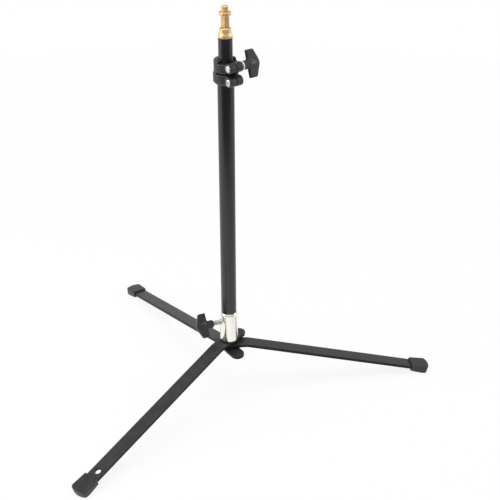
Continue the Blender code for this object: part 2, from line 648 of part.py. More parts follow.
def collar(parts, cutters):
    """Split clamp collar: a band for each tube, with a pair of ears and a screw boss on each."""
    lower = COLLAR_LOWER_RADIUS
    upper = COLLAR_UPPER_RADIUS
    soft = COLLAR_TOP_ROUND
    lip = LOWER_TUBE_DIAMETER / 2 + 2 * SEAT_GAP
    cone_z = COLLAR_FOOT_Z + COLLAR_LOWER_CONE
    edge = BOSS_ROUND
    round_top = arc((upper - soft, COLLAR_TOP_Z - soft), soft, math.pi / 2, 0.0, DOME_STEPS)
    rings = [(0.0, COLLAR_TOP_Z)] + round_top + [
        (upper, BAND_SLOT_Z), (lower, BAND_SLOT_Z - edge), (lower, cone_z),
        (lip + edge, COLLAR_FOOT_Z), (0.0, COLLAR_FOOT_Z)]
    rings = [(radius, height - COLLAR_FOOT_Z) for radius, height in rings]
    body = turned("clamp_collar", rings, parts, collar_frame(COLLAR_FOOT_Z), steps=FINE_STEPS)
    tall = COLLAR_TOP_Z - COLLAR_FOOT_Z
    wide = 2 * BOSS_LENGTH
    frame = collar_frame(0.0)
    rim_low = (-wide, -wide, LEDGE_Z)
    rim_high = (wide, -COLLAR_RIM_SETBACK, COLLAR_TOP_Z + tall)
    combine(body, box("rim_cut", rim_low, rim_high, cutters, frame), "DIFFERENCE")
    webs = (("upper", UPPER_BOSS_Z, LEDGE_Z - UPPER_BOSS_Z - SEAT_GAP),
            ("lower", LOWER_BOSS_Z, BOSS_RADIUS - SEAT_GAP))
    for name, height, top in webs:
        combine(body, boss(name + "_boss", height, cutters), "UNION")
        combine(body, web(name + "_web", height, top, cutters), "UNION")
    sliding = UPPER_TUBE_DIAMETER / 2 + SEAT_GAP
    fixed = LOWER_TUBE_DIAMETER / 2 + SEAT_GAP
    low = COLLAR_FOOT_Z - tall
    rings = [(0.0, COLLAR_TOP_Z + tall), (sliding, COLLAR_TOP_Z + tall), (sliding, SHOULDER_Z),
             (fixed, SHOULDER_Z), (fixed, low), (0.0, low)]
    combine(body, turned("collar_bore", rings, cutters, frame, steps=FINE_STEPS), "DIFFERENCE")
    split = COLLAR_SPLIT / 2
    split_high = (split, 0.0, COLLAR_TOP_Z + tall)
    combine(body, box("split_cut", (-split, -wide, low), split_high, cutters, frame), "DIFFERENCE")
    band_high = (wide, 0.0, BAND_SLOT_Z + COLLAR_BAND_GAP)
    combine(body, box("band_cut", (-wide, -wide, BAND_SLOT_Z), band_high, cutters, frame), "DIFFERENCE")
    for name, height in (("upper", UPPER_BOSS_Z), ("lower", LOWER_BOSS_Z)):
        sink = SCREW_HEAD_SINK - BOSS_LENGTH / 2
        head = SCREW_HEAD_DIAMETER / 2 + SEAT_GAP
        rings = [(0.0, wide), (CLAMP_HOLE, wide), (CLAMP_HOLE, sink), (head, sink), (head, -wide), (0.0, -wide)]
        combine(body, turned(name + "_screw_cut", rings, cutters, screw_frame(height)), "DIFFERENCE")
    nut_low = BOSS_LENGTH / 2 - NUT_HEIGHT
    nut = hexagon("nut_cut", NUT_FLATS + 2 * SEAT_GAP, nut_low, BOSS_LENGTH, cutters,
                  screw_frame(LOWER_BOSS_Z))
    combine(body, nut, "DIFFERENCE")
    return dress(body, "moulded_black")


def screw_rings(length):
    """Outline of a clamp screw with a domed head; height 0 is under the head."""
    shank = CLAMP_SCREW_DIAMETER / 2
    head = SCREW_HEAD_DIAMETER / 2
    half = SCREW_HEAD_HEIGHT / 2
    turns = [math.pi / 2 * step / DOME_STEPS for step in range(DOME_STEPS)]
    dome = [(head * math.cos(angle), -half * (1 + math.sin(angle))) for angle in turns]
    return [(0.0, length), (shank, length), (shank, 0.0), (head, 0.0)] + dome + [(0.0, -2 * half)]


def collar_fittings(parts, cutters):
    """Screws, nut, washer and knob of the clamp collar."""
    seat = SCREW_HEAD_SINK - SEAT_GAP - BOSS_LENGTH / 2
    under_head = Matrix.Translation((0, 0, seat))
    upper = screw_frame(UPPER_BOSS_Z)
    lower = screw_frame(LOWER_BOSS_Z)
    end = BOSS_LENGTH / 2
    washer_low = end + SEAT_GAP
    knob_low = washer_low + CLAMP_WASHER_THICK + SEAT_GAP
    bolt_end = knob_low + KNOB_POCKET_DEPTH - 2 * SEAT_GAP
    dress(turned("clamp_bolt", screw_rings(bolt_end - seat), parts, upper @ under_head), "bright_steel")
    dress(turned("collar_screw", screw_rings(end - seat), parts, lower @ under_head), "bright_steel")
    nut = hexagon("collar_nut", NUT_FLATS, end - NUT_HEIGHT + SEAT_GAP, end, parts, lower)
    hole = cylinder("nut_bore", CLAMP_HOLE, 0.0, 2 * end, cutters, lower)
    combine(nut, hole, "DIFFERENCE")
    dress(nut, "bright_steel")
    rings = tube_rings(CLAMP_WASHER_DIAMETER / 2, CLAMP_HOLE, washer_low, washer_low + CLAMP_WASHER_THICK)
    dress(turned("clamp_washer", rings, parts, upper), "washer_white")
    axis_point = collar_frame(UPPER_BOSS_Z) @ Vector((0, -BOSS_OFFSET, 0))
    at_axis = aim(COLLAR_AZIMUTH, COLLAR_KNOB_LEAN, axis_point)
    head = at_axis @ Matrix.Translation((0, 0, knob_low + KNOB_HUB_LENGTH))
    insert = INSERT_DIAMETER / 2
    knob("collar_knob", head, insert + SEAT_GAP, parts, cutters)
    rings = tube_rings(insert, CLAMP_HOLE, knob_low, knob_low + KNOB_POCKET_DEPTH - SEAT_GAP)
    dress(turned("collar_knob_insert", rings, parts, at_axis), "brass")


def stud(parts, cutters):
    """Brass stud: a plug in the tube, a rim, a land, a six-sided waist, a flange and a tip."""
    base = UPPER_TUBE_DIAMETER / 2
    land = STUD_DIAMETER / 2
    waist = STUD_WAIST_FLATS / 2 - SEAT_GAP
    tip = STUD_TIP_DIAMETER / 2
    plug = UPPER_BORE - SEAT_GAP
    edge = TURNED_EDGE
    rim_z = STUD_Z + STUD_RIM
    land_z = rim_z + STUD_RIM_CONE
    cone_z = land_z + STUD_LAND
    waist_z = cone_z + STUD_CONE
    flange_z = waist_z + STUD_WAIST
    tip_z = flange_z + STUD_FLANGE
    top_z = tip_z + STUD_TIP
    rings = [
        (0.0, top_z), (tip - 2 * edge, top_z), (tip, top_z - 2 * edge), (tip, tip_z),
        (land - edge, tip_z), (land, tip_z - edge), (land, flange_z + 2 * edge), (land - edge, flange_z),
        (waist, flange_z), (waist, waist_z), (land, cone_z), (land, land_z),
        (base, rim_z), (base, STUD_Z), (plug, STUD_Z), (plug, STUD_Z - STUD_PLUG_LENGTH),
        (0.0, STUD_Z - STUD_PLUG_LENGTH),
    ]
    body = turned("top_stud", rings, parts, steps=FINE_STEPS)
    facets = hexagon("stud_facets", STUD_WAIST_FLATS, cone_z, flange_z + edge, cutters)
    combine(body, facets, "UNION")
    return dress(body, "brass")


def build():
    """Model the whole stand."""
    for item in list(bpy.data.objects):
        bpy.data.objects.remove(item)
    parts = collection("light_stand")
    cutters = collection("cutters")
    legs = [
        ("front_left", FRONT_LEFT_Z, AZIMUTH_FRONT_LEFT, INNER_REACH, True),
        ("right", RIGHT_Z, AZIMUTH_RIGHT, MIDDLE_INNER_REACH, False),
        ("back_left", BACK_LEFT_Z, AZIMUTH_BACK_LEFT, INNER_REACH, False),
    ]
    for side, level, azimuth, inner_reach, pegged in legs:
        leg(side, level, azimuth, inner_reach, parts, cutters, pegged)
        boot(side, level, azimuth, parts, cutters)
    pivot_stack(parts, cutters)
    socket(parts, cutters)
    base_clamp(parts, cutters)
    pole(parts)
    collar(parts, cutters)
    collar_fittings(parts, cutters)
    stud(parts, cutters)


build()
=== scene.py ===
"""Light stand, dressed.

Painted legs, rubber boots, chromed socket, black tubes, moulded clamp and brass stud. Every
shape is worked out with numpy in metres, in the frame of the CAD: the column's axis is the Z
axis, and the pivot bolt's underside is at the origin.
"""
import json
import math

import bmesh
import bpy
import numpy as np
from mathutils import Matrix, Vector


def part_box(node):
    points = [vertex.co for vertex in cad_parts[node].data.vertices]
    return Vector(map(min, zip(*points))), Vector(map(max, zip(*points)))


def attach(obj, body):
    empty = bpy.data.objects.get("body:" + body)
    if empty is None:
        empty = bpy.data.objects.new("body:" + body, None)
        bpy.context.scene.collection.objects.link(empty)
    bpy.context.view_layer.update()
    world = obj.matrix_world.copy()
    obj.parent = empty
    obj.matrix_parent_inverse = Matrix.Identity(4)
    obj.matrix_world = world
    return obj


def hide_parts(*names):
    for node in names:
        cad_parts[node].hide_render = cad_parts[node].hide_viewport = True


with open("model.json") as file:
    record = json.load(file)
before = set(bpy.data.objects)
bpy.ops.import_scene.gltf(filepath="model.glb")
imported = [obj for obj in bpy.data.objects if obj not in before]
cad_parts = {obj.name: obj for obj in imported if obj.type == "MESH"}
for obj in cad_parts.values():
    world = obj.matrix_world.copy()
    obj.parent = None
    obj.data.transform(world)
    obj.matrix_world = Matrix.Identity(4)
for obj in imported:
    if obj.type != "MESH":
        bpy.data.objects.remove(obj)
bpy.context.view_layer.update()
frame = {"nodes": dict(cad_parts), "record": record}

# Sizes of the stand, in metres; azimuths and leans are in degrees. A pitch is the spacing of
# the lattice that a field is taken on.
FLOOR_Z = -0.0592
GAP = 0.0003                    # between two pieces that move against each other

# Legs: flat bars, bent once
BAR_WIDTH = 0.0208
BAR_THICK = 0.005
BAR_EDGE = 0.0007
BEND_REACH = 0.0277             # column's axis to where the level part and the slope would meet
BEND_RADIUS = 0.040
LEG_RUN = 0.2752                # from there to the boot's mouth, down the slope
PIVOT_RADIUS = 0.0044
PIVOT_FLARE = BAR_EDGE * 0.3
PEG_RADIUS = 0.0045
PEG_FLARE = BAR_EDGE * 0.7
PEG_SETBACK = 0.0120            # from the boot's mouth inwards
SIDE_LEAN = (0.45, 0.85)        # upright share of a side's normal at most, of a face's at least

# Boots: the mouth is where the bar goes in
BOOT_STAND = 0.0133             # floor to the bar's top face at the mouth
BOOT_LENGTH = 0.0302
BOOT_MOUTH = 0.0246
BOOT_TOE = 0.0272
BOOT_BULGE = 0.0045             # how far the middle of the toe stands out
BOOT_WALLS = (0.0032, 0.0046)   # rubber over and under the bar, at the mouth and at the toe
BOOT_GRIP = 0.0205              # length of bar in the boot
BOOT_SLACK = 0.0004
BOOT_PITCH = 0.00045

# Socket and tubes, outer and inner radius
SOCKET_FOOT = 0.0140
SOCKET_HEAD = 0.0131
SOCKET_BORE = 0.0082
SOCKET_SEAT = 0.0135            # thickness of the socket's floor
WASHER_RADIUS = 0.0143
LOWER_TUBE = (0.0114, 0.0104)
UPPER_TUBE = (0.009525, 0.008325)
PIN_RADIUS = 0.00795

# Stud: its plug's length, radii, and levels above the flange's underside
STUD_PLUG = 0.020
STUD_LAND_RADIUS = 0.00795
STUD_NECK_RADIUS = 0.0051
STUD_TIP_RADIUS = 0.0047
STUD_LAND = 0.0062
STUD_WAIST = (0.0119, 0.0286)
STUD_SHOULDER = 0.0335
STUD_FLAT = 0.0054              # axis to a flat of the six-sided waist
STUD_CORNER = 0.0061
STUD_THREAD = (0.00127, 0.00055)        # pitch and depth

# Clamp collar, its two screws and their washer
COLLAR_AZIMUTH = 38.5
BOSS_OFFSET = 0.0185
BOSS_HALF = 0.0109
BOSS_RADIUS = 0.0070
UPPER_BOSS_Z = 0.4701
LOWER_BOSS_Z = 0.4516
SCREW_SEAT = 0.0021             # depth of the head's seat in its boss
SCREW_HEAD = 0.00475
SCREW_DOME = 0.0030
SCREW_SHANK = 0.0030
SCREW_HOLE = 0.0034
CLAMP_WASHER_RADIUS = 0.0063
CLAMP_WASHER = 0.0022
COLLAR_PITCH = 0.00035

# Knobs
KNOB_HUB = 0.0061
KNOB_HUB_LENGTH = 0.0089
KNOB_POCKET = 0.0120
KNOB_FLUTES = 10
KNOB_PITCH = 0.00033
COLLAR_KNOB_LEAN = -17.0
COLLAR_KNOB_BORE = 0.0044
BASE_KNOB_AZIMUTH = 203.5
BASE_KNOB_Z = 0.0620
BASE_KNOB_LEAN = 40.0
BASE_KNOB_BORE = 0.0042
BASE_KNOB_STANDOFF = 0.0268     # column's axis to the knob's hub
BASE_PAD = 0.0028
BASE_SCREW = (0.0039, 0.00125, 0.00068)  # radius, pitch and depth of its thread

# Meshes: points closer than this are one, and edges shorter than this are dissolved
WELD = 0.000002
SLIVER = 0.0000005

# Finishes: scales of the noises, share of gloss on a bar's sides, and the bulge, per metre,
# at which the painted edge highlight and the painted hollow shade begin and are full
PATCH_SCALE = 90.0
STROKE_SCALE = 420.0
SIDE_GLOSS = 0.35
BULGE_STARTS = 250.0
BULGE_FULL = 900.0

# Studio. WORLD_LIGHT is the world's strength as light, WORLD_GLOSS its strength in gloss at
# the horizon and overhead. FLOOR_WHITE is the share of plain white near the stand, and
# FLOOR_FADE the distances between which it grows to the whole.
WORLD_LIGHT = 0.55
WORLD_GLOSS = (1.00, 0.22)
FLOOR_HALF = 6.0
FLOOR_WHITE = 0.86
FLOOR_FADE = (0.6, 1.8)
CAMERA_PLACE = (0.03078, -1.16062, 0.87095)
CAMERA_TILT = 59.79
CAMERA_LENS = 65.98
CAMERA_SHIFT = (0.0020, -0.0104)

# lamp: place, point that it looks at, width and height, power
LAMPS = {
    "key_panel": ((-1.5, -0.5, 1.0), (0.0, 0.0, 0.2), (1.0, 1.6), 16.0),
    "side_panel": ((1.7, 0.3, 1.0), (0.0, 0.0, 0.2), (0.9, 1.6), 9.0),
    "top_panel": ((0.0, 0.0, 2.2), (0.0, 0.0, 0.0), (1.4, 1.4), 14.0),
}

# side: level of the bar's underside, azimuth, reach of the round inner end
LEGS = {
    "front_left": (0.0221, -129.7, 0.0328),
    "right": (0.0148, 6.36, 0.0225),
    "back_left": (0.0075, 124.65, 0.0328),
}


# Meshes

def add_mesh(name, points, faces, sharp=35.0):
    """Mesh object at the origin, closed, and turned outwards by its signed volume."""
    mesh = bpy.data.meshes.new(name)
    mesh.from_pydata(points.tolist(), [], faces)
    work = bmesh.new()
    work.from_mesh(mesh)
    bmesh.ops.remove_doubles(work, verts=work.verts, dist=WELD)
    bmesh.ops.dissolve_degenerate(work, edges=work.edges, dist=SLIVER)
    if work.calc_volume(signed=True) < 0:
        bmesh.ops.reverse_faces(work, faces=work.faces)
    work.to_mesh(mesh)
    work.free()
    finish_mesh(mesh, sharp)
    piece = bpy.data.objects.new(name, mesh)
    bpy.context.scene.collection.objects.link(piece)
    return piece


def finish_mesh(mesh, sharp=35.0):
    """Smooth shading with sharp corners, and how far each point bulges, for the finishes to read.

    The bulge of an edge is the change of its ends' normals along it over its length. A point
    takes the mean of its edges.
    """
    mesh.shade_smooth()
    mesh.set_sharp_from_angle(angle=math.radians(sharp))
    count = len(mesh.vertices)
    place = np.empty(count * 3)
    mesh.vertices.foreach_get("co", place)
    normal = np.empty(count * 3)
    mesh.vertices.foreach_get("normal", normal)
    ends = np.empty(len(mesh.edges) * 2, dtype=np.int64)
    mesh.edges.foreach_get("vertices", ends)
    place, normal, ends = place.reshape(-1, 3), normal.reshape(-1, 3), ends.reshape(-1, 2)
    along = place[ends[:, 1]] - place[ends[:, 0]]
    bend = ((normal[ends[:, 1]] - normal[ends[:, 0]]) * along).sum(axis=1)
    bend /= np.maximum((along ** 2).sum(axis=1), 1e-12)
    total = np.bincount(ends.ravel(), weights=np.repeat(bend, 2), minlength=count)
    shared = np.bincount(ends.ravel(), minlength=count)
    bulge = mesh.attributes.new("bulge", "FLOAT", "POINT")
    bulge.data.foreach_set("value", total / np.maximum(shared, 1))


def grid_faces(rows, columns, looped):
    """Quads of a grid that is closed round its columns, and round its rows where it is looped."""
    across = np.arange(rows if looped else rows - 1)[:, None] * columns
    along = np.arange(columns)[None, :]
    below = (across + columns) % (rows * columns)
    beside = (along + 1) % columns
    quads = np.stack([across + along, across + beside, below + beside, below + along], axis=-1)
    return quads.reshape(-1, 4).tolist()


def shell(name, points, looped=False, sharp=35.0):
    """Closed surface through a grid: columns run round it, rows from pole to pole or in a loop."""
    rows, columns = points.shape[:2]
    return add_mesh(name, points.reshape(-1, 3), grid_faces(rows, columns, looped), sharp)


def mark_sides(mesh, low, high, axis):
    """Attribute that is one where a point's normal lies across an axis, and nothing along it."""
    normal = np.empty(len(mesh.vertices) * 3)
    mesh.vertices.foreach_get("normal", normal)
    lean = np.abs(normal.reshape(-1, 3) @ np.asarray(axis))
    side = mesh.attributes.new("side", "FLOAT", "POINT")
    side.data.foreach_set("value", np.clip((high - lean) / (high - low), 0.0, 1.0))


def eased(outline, radius, steps=4, closed=True):
    """Outline with rounded corners: a quadratic curve from a point before each to one after it."""
    points = np.asarray(outline, dtype=float)
    before = np.roll(points, 1, axis=0) - points
    after = np.roll(points, -1, axis=0) - points
    reach = np.minimum(np.linalg.norm(before, axis=1), np.linalg.norm(after, axis=1)) * 0.45
    reach = np.minimum(reach, np.broadcast_to(radius, reach.shape))
    if not closed:
        reach[0] = reach[-1] = 0.0
    unit_before = before / np.maximum(np.linalg.norm(before, axis=1), 1e-12)[:, None]
    unit_after = after / np.maximum(np.linalg.norm(after, axis=1), 1e-12)[:, None]
    share = np.linspace(0.0, 1.0, steps + 1)[None, :, None]
    start = (points + unit_before * reach[:, None])[:, None, :]
    end = (points + unit_after * reach[:, None])[:, None, :]
    middle = points[:, None, :]
    curve = (1 - share) ** 2 * start + 2 * share * (1 - share) * middle + share ** 2 * end
    return curve.reshape(-1, 2)


def turned_points(profile, columns):
    """Grid of a profile of (radius, height) turned round the Z axis."""
    angle = np.linspace(0.0, math.tau, columns, endpoint=False)
    radius = profile[:, 0][:, None]
    height = np.broadcast_to(profile[:, 1][:, None], (len(profile), columns))
    return np.stack([radius * np.cos(angle), radius * np.sin(angle), height], axis=-1)


def moved(points, matrix):
    """Points carried by a four by four matrix."""
    return points @ matrix[:3, :3].T + matrix[:3, 3]


def turned(name, outline, ease=0.0002, columns=96, matrix=None, looped=False):
    """Turned piece: an outline of (radius, height), its corners eased, turned round its Z axis."""
    profile = eased(outline, ease, closed=looped)
    points = turned_points(profile, columns)
    if matrix is not None:
        points = moved(points, matrix)
    return shell(name, points, looped)


def spin(azimuth):
    """Matrix that turns about the column's axis, in degrees."""
    angle = math.radians(azimuth)
    matrix = np.eye(4)
    matrix[:2, :2] = [[math.cos(angle), -math.sin(angle)], [math.sin(angle), math.cos(angle)]]
    return matrix


def shift(x=0.0, y=0.0, z=0.0):
    """Matrix that moves by a step."""
    matrix = np.eye(4)
    matrix[:3, 3] = (x, y, z)
    return matrix


def aim(azimuth, lean, point):
    """Frame at a point: Z outwards along an azimuth, X upright and leaning by an angle."""
    angle = math.radians(azimuth)
    out = np.array([math.cos(angle), math.sin(angle), 0.0])
    aside = np.array([out[1], -out[0], 0.0])
    tilt = math.radians(lean)
    up = np.array([0.0, 0.0, 1.0]) * math.cos(tilt) + aside * math.sin(tilt)
    matrix = np.eye(4)
    matrix[:3, 0] = up
    matrix[:3, 1] = np.cross(out, up)
    matrix[:3, 2] = out
    matrix[:3, 3] = point
    return matrix


def cut(piece, tool):
    """Cut one piece by another with an exact Boolean, keep the resulting mesh and drop the tool."""
    step = piece.modifiers.new("cut", "BOOLEAN")
    step.operation = "DIFFERENCE"
    step.solver = "EXACT"
    step.object = tool
    bpy.context.view_layer.update()
    seen = piece.evaluated_get(bpy.context.evaluated_depsgraph_get())
    mesh = bpy.data.meshes.new_from_object(seen)
    piece.modifiers.clear()
    piece.data = mesh
    bpy.data.objects.remove(tool)
    mesh.attributes.remove(mesh.attributes["bulge"])
    finish_mesh(mesh)
    return piece


# Cast and moulded shapes, as fields: negative inside, zero on the surface, in metres

def join(first, second, soft):
    """Union of two fields with a fillet: the lesser one, blended by a quadratic over a width."""
    blend = np.clip(0.5 + 0.5 * (second - first) / soft, 0.0, 1.0)
    return second * (1 - blend) + first * blend - soft * blend * (1 - blend)


def meet(first, second, soft):
    """What two fields share, with its edge eased over a width."""
    return -join(-first, -second, soft)


def without(first, second, soft):
    """The first field less the second, with its edge eased over a width."""
    return meet(first, -second, soft)


def between(value, low, high, soft):
    """Field of the slab between two planes."""
    return meet(low - value, value - high, soft)


def cast(name, field, low, high, pitch, matrix):
    """Surface of a field by surface nets.

    The field is taken on a cubic lattice. Each cell that it changes sign in gets one point,
    the mean of where its edges cross zero, and each lattice edge that crosses zero gets the
    quad of the four cells round it. The points are then drawn on to the surface by stepping
    down the field's slope.
    """
    axes = [np.arange(start, end + pitch, pitch) for start, end in zip(low, high)]
    lattice = np.meshgrid(*axes, indexing="ij")
    value = field(*lattice)
    cells = tuple(size - 1 for size in value.shape)
    total = np.zeros(cells + (3,))
    count = np.zeros(cells)
    crossings = []
    for axis in range(3):
        near = [slice(None)] * 3
        far = [slice(None)] * 3
        near[axis] = slice(None, -1)
        far[axis] = slice(1, None)
        start, end = value[tuple(near)], value[tuple(far)]
        crosses = (start < 0) != (end < 0)
        share = np.where(crosses, start / np.where(crosses, start - end, 1.0), 0.0)
        where = np.stack([part[tuple(near)] for part in lattice], axis=-1)
        where[..., axis] += share * pitch
        sides = [other for other in range(3) if other != axis]
        for first in (0, 1):
            for second in (0, 1):
                pick = [slice(None)] * 3
                pick[sides[0]] = slice(first, cells[sides[0]] + first)
                pick[sides[1]] = slice(second, cells[sides[1]] + second)
                hit = crosses[tuple(pick)]
                count += hit
                total += where[tuple(pick)] * hit[..., None]
        crossings.append((axis, sides, np.argwhere(crosses), start[crosses] < 0))
    used = count > 0
    number = np.full(cells, -1)
    number[used] = np.arange(used.sum())
    points = total[used] / count[used][:, None]
    faces = []
    for axis, sides, places, inward in crossings:
        limits = np.array(cells)
        inside = np.all((places[:, sides] > 0) & (places[:, sides] < limits[sides]), axis=1)
        places, inward = places[inside], inward[inside]
        ring = []
        for back_first, back_second in ((1, 1), (0, 1), (0, 0), (1, 0)):
            place = places.copy()
            place[:, sides[0]] -= back_first
            place[:, sides[1]] -= back_second
            ring.append(number[tuple(place.T)])
        quads = np.stack(ring, axis=-1)
        flip = inward if axis != 1 else ~inward
        quads[~flip] = quads[~flip][:, ::-1]
        faces.append(quads)
    faces = np.concatenate(faces)
    step = pitch * 0.2
    for _ in range(3):
        here = field(*points.T)
        ahead = [field(*(points + along).T) for along in np.eye(3) * step]
        slope = (np.stack(ahead, axis=-1) - here[:, None]) / step
        pull = here[:, None] * slope / np.maximum((slope ** 2).sum(axis=1), 0.25)[:, None]
        points = points - np.clip(pull, -pitch / 2, pitch / 2)
    return add_mesh(name, moved(points, matrix), faces.tolist(), sharp=60.0)


# Legs and boots

def leg_slope(level):
    """Angle below level of a leg's long run."""
    return math.asin((level + BAR_THICK - FLOOR_Z - BOOT_STAND) / LEG_RUN)


def mouth_frame(level, azimuth):
    """Frame at the boot's mouth on the bar's top face: X down the slope, Z off the bar."""
    slope = leg_slope(level)
    tilt = np.eye(4)
    tilt[:3, 0] = (math.cos(slope), 0.0, -math.sin(slope))
    tilt[:3, 2] = (math.sin(slope), 0.0, math.cos(slope))
    reach = BEND_REACH + LEG_RUN * math.cos(slope)
    return spin(azimuth) @ shift(reach, 0.0, FLOOR_Z + BOOT_STAND) @ tilt


def bar(name, level, azimuth, inner_reach):
    """Leg bar.

    A row is a place along the bar and a column a place round its rounded oblong section. At
    the inner end a row's half width is the sine and its place the cosine of an angle on the
    half round. The straight bar is then laid along its centre line: level, a bend of
    BEND_RADIUS, and the slope.
    """
    half = BAR_WIDTH / 2
    slope = leg_slope(level)
    knee = BEND_REACH - BEND_RADIUS * math.tan(slope / 2)
    centre = half - inner_reach
    bend = BEND_RADIUS * slope
    length = knee + bend + LEG_RUN - BEND_RADIUS * math.tan(slope / 2) + BOOT_GRIP - GAP

    # The section in six runs of points: corner, top, corner, corner, underside, corner
    count = 5
    ones = np.ones(count)
    corner = np.linspace(0.0, math.pi / 2, count)
    face = np.linspace(0.8, -0.8, count)
    rise = np.concatenate([np.sin(corner), ones, np.sin(corner[::-1])])
    rise = np.concatenate([rise, -rise])
    inset = BAR_EDGE * (1 - np.concatenate([np.cos(corner), 0 * ones, np.cos(corner[::-1])] * 2))
    across = np.concatenate([ones, face, -ones, -ones, -face, ones])
    height = np.sign(rise) * (BAR_THICK / 2 - BAR_EDGE + BAR_EDGE * np.abs(rise)) + BAR_THICK / 2
    height[np.abs(rise) < 1e-9] = BAR_THICK / 2

    # The places along the bar: the half round, the level part, the bend and the long run
    turn = np.linspace(0.0, math.pi / 2, 20)[:, None]
    end_place = centre - (half - inset) * np.cos(turn)
    end_side = across * (half - inset) * np.sin(turn)
    run = np.concatenate([
        np.linspace(centre + 0.001, knee, 6),
        knee + np.linspace(0.05, 1.0, 12) * bend,
        np.linspace(knee + bend + 0.01, length, 24),
    ])[:, None]
    place = np.concatenate([end_place, run + 0 * across, np.full((1, len(across)), length)])
    side = np.concatenate([end_side, across * (half - inset) + 0 * run, np.zeros((1, len(across)))])
    height = np.broadcast_to(height, place.shape).copy()
    height[-1] = BAR_THICK / 2

    # The straight bar laid along its bent centre line
    angle = np.clip((place - knee) / BEND_RADIUS, 0.0, slope)
    past = np.maximum(place - knee - bend, 0.0)
    out = np.where(place < knee, place, knee + BEND_RADIUS * np.sin(angle) + past * math.cos(slope))
    down = BEND_RADIUS * (1 - np.cos(angle)) + past * math.sin(slope)
    depth = height - BAR_THICK
    x = out + depth * np.sin(angle)
    z = BAR_THICK - down + depth * np.cos(angle)
    points = np.stack([x, side, z], axis=-1)
    return shell(name, moved(points, spin(azimuth) @ shift(z=level)))


def boot(name, level, azimuth):
    """Rubber boot as a field.

    A wedge that widens and thickens outwards meets the cylinder of its nose. That has the
    radius of an arc over the toe's width that rises by the bulge. The boot is cut square at
    the mouth and level at the floor, and the bar's pocket is taken out.
    """
    slope = leg_slope(level)
    toe = BOOT_TOE / 2
    radius = (toe ** 2 + BOOT_BULGE ** 2) / (2 * BOOT_BULGE)

    def field(x, y, z):
        share = x / BOOT_LENGTH
        wall = BOOT_WALLS[0] + (BOOT_WALLS[1] - BOOT_WALLS[0]) * share
        width = BOOT_MOUTH / 2 + (BOOT_TOE - BOOT_MOUTH) / 2 * share
        body = meet(np.abs(y) - width, np.abs(z + BAR_THICK / 2) - BAR_THICK / 2 - wall, 0.0028)
        nose = np.hypot(x - BOOT_LENGTH + radius, y) - radius
        body = meet(body, nose, 0.0022)
        body = meet(body, -x, 0.0016)
        over_floor = BOOT_STAND - x * math.sin(slope) + z * math.cos(slope)
        body = meet(body, -over_floor, 0.0010)
        beside = np.abs(y) - BAR_WIDTH / 2 - BOOT_SLACK
        above = np.abs(z + BAR_THICK / 2) - BAR_THICK / 2 - BOOT_SLACK
        pocket = np.maximum(np.maximum(beside, above), x - BOOT_GRIP)
        return without(body, pocket, 0.0008)

    low = (-0.002, -0.016, -0.013)
    high = (BOOT_LENGTH + 0.002, 0.016, 0.008)
    return cast(name, field, low, high, BOOT_PITCH, mouth_frame(level, azimuth))


def punch(leg, name, radius, flare, top):
    """Hole through a bar, flared at both faces at 45 degrees. top is a frame on the bar's top face.

    The tool is turned, and its cones run past both faces by the bar's thickness.
    """
    wide = radius + flare + BAR_THICK
    outline = [
        (0, BAR_THICK), (wide, BAR_THICK), (radius, -flare),
        (radius, flare - BAR_THICK), (wide, -2 * BAR_THICK), (0, -2 * BAR_THICK),
    ]
    cut(leg, turned(name, outline, ease=0.0001, columns=48, matrix=top))


def make_legs():
    """Legs and boots, with a pivot hole in each bar and a peg hole in the front left one."""
    for side, (level, azimuth, inner_reach) in LEGS.items():
        leg = bar("leg_" + side + "_bar", level, azimuth, inner_reach)
        punch(leg, "pivot_tool", PIVOT_RADIUS, PIVOT_FLARE, shift(z=level + BAR_THICK))
        if side == "front_left":
            here = mouth_frame(level, azimuth) @ shift(x=-PEG_SETBACK)
            punch(leg, "peg_tool", PEG_RADIUS, PEG_FLARE, here)
        # the upright sides are marked for the painted shade that the leg's finish puts on them
        mark_sides(leg.data, *SIDE_LEAN, (0.0, 0.0, 1.0))
        settle(leg, side + "_leg", "leg_paint", "leg_" + side)
        rubber = boot("boot_" + side + "_rubber", level, azimuth)
        settle(rubber, side + "_leg", "boot_rubber", "boot_" + side)


# Turned pieces

def thread_wave(height, angle, pitch):
    """Depth of a thread's groove, from 0 to 1.

    A clipped triangle wave of the height over the pitch less the angle over a turn.
    """
    phase = (height / pitch - angle / math.tau) % 1.0
    return np.clip(np.abs(phase - 0.5) * 2.6 - 0.3, 0.0, 1.0)


def thread_points(radius, pitch, depth, low, high):
    """Threaded rod: the radius drops by the thread's wave, run out at its ends, and a chamfer."""
    columns, tip = 96, 0.0006
    angle = np.linspace(0.0, math.tau, columns, endpoint=False)[None, :]
    height = np.linspace(low, high, max(int((high - low) / pitch * 10), 20))[:, None]
    groove = thread_wave(height, angle, pitch)
    run_out = np.clip(np.minimum(height - low, high - height) / pitch, 0.0, 1.0)
    at_low = np.clip((tip - (height - low)) / tip, 0.0, 1.0)
    at_high = np.clip((tip - (high - height)) / tip, 0.0, 1.0)
    chamfer = at_low * depth + at_high * depth
    reach = radius - depth * groove * run_out - chamfer
    ends = np.array([[low], [high]])
    reach = np.concatenate([np.zeros((1, columns)), reach, np.zeros((1, columns))])
    height = np.broadcast_to(np.concatenate([ends[:1], height, ends[1:]]), reach.shape)
    angle = np.broadcast_to(angle, reach.shape)
    return np.stack([reach * np.cos(angle), reach * np.sin(angle), height], axis=-1)


def box_heights(node):
    """Lowest and highest level of a CAD node."""
    low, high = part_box(node)
    return low[2], high[2]


def ring_outline(node, outer, inner):
    """Square section of a ring as high as a CAD node."""
    low, high = box_heights(node)
    return [(outer, high), (outer, low), (inner, low), (inner, high)]


